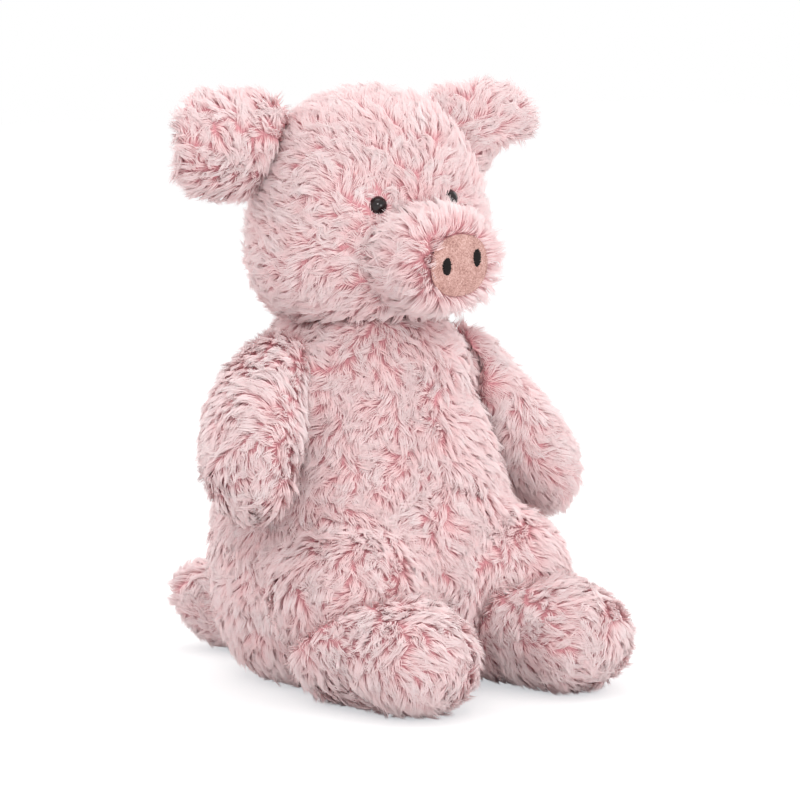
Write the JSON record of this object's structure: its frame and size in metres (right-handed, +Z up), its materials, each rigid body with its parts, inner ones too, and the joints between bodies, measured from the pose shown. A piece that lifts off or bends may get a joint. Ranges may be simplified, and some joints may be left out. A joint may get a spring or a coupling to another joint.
{
  "type": "plush pig",
  "caption": "Sitting soft toy pig in long curly pale pink pile, with a suede snout disc, black bead eyes, flapping ears, sewn limbs and a curled tail.",
  "frame": {"origin": "middle of the flat seat, on the floor", "axes": "+Z up; the pig faces -Y; its right side is at -X"},
  "size_m": [0.2026, 0.2238, 0.2563],
  "materials": {
    "pile": "long curly pile",
    "stuffing": "loose fibre",
    "beans": "woven cotton",
    "suede": "matte suede",
    "thread": "satin stitch",
    "bead": "gloss",
    "washer": "moulded"
  },
  "bodies": {
    "torso": {"body_cover": "pile", "body_stuffing": "stuffing", "bean_pouch": "beans"},
    "head": {"head_cover": "pile", "head_stuffing": "stuffing", "muzzle_cover": "pile", "muzzle_stuffing": "stuffing", "snout_disc": "suede", "nostril_right": "thread", "nostril_left": "thread", "eye_right": "bead", "eye_washer_right": "washer", "eye_left": "bead", "eye_washer_left": "washer"},
    "ear_right": {"ear_right": "pile"},
    "ear_left": {"ear_left": "pile"},
    "arm_right": {"arm_right_cover": "pile", "arm_right_stuffing": "stuffing"},
    "arm_left": {"arm_left_cover": "pile", "arm_left_stuffing": "stuffing"},
    "leg_right": {"leg_right_cover": "pile", "leg_right_stuffing": "stuffing"},
    "leg_left": {"leg_left_cover": "pile", "leg_left_stuffing": "stuffing"},
    "tail": {"tail_cover": "pile", "tail_stuffing": "stuffing"}
  },
  "joints": [
    {"name": "head_nod", "type": "hinge", "parent": "torso", "child": "head", "pos_m": [0, 0.005, 0.126], "axis": [0.9926, -0.1131, 0.0436], "range_deg": [-10, 12], "stiffness_Nm_per_rad": 4},
    {"name": "ear_right_flap", "type": "hinge", "parent": "head", "child": "ear_right", "pos_m": [-0.03996, 0.00857, 0.23278], "axis": [-0.0433, 0.0049, 0.999], "range_deg": [-20, 25], "stiffness_Nm_per_rad": 0.02},
    {"name": "ear_left_flap", "type": "hinge", "parent": "head", "child": "ear_left", "pos_m": [0.03652, -0.00014, 0.23614], "axis": [0.0433, -0.0049, -0.999], "range_deg": [-20, 25], "stiffness_Nm_per_rad": 0.02},
    {"name": "arm_right_swing", "type": "hinge", "parent": "torso", "child": "arm_right", "pos_m": [-0.04426, -0.003, 0.131], "axis": [-1, 0, 0], "range_deg": [-15, 75], "stiffness_Nm_per_rad": 0.06},
    {"name": "arm_left_swing", "type": "hinge", "parent": "torso", "child": "arm_left", "pos_m": [0.04426, -0.003, 0.131], "axis": [-1, 0, 0], "range_deg": [-15, 75], "stiffness_Nm_per_rad": 0.06},
    {"name": "leg_right_lift", "type": "hinge", "parent": "torso", "child": "leg_right", "pos_m": [-0.041, -0.033, 0.045], "axis": [-1, 0, 0], "range_deg": [0, 22], "stiffness_Nm_per_rad": 0.2},
    {"name": "leg_left_lift", "type": "hinge", "parent": "torso", "child": "leg_left", "pos_m": [0.041, -0.033, 0.045], "axis": [-1, 0, 0], "range_deg": [0, 22], "stiffness_Nm_per_rad": 0.2},
    {"name": "tail_wag", "type": "hinge", "parent": "torso", "child": "tail", "pos_m": [0, 0.0616, 0.017], "axis": [0, 0, 1], "range_deg": [-20, 20], "stiffness_Nm_per_rad": 0.02}
  ]
}
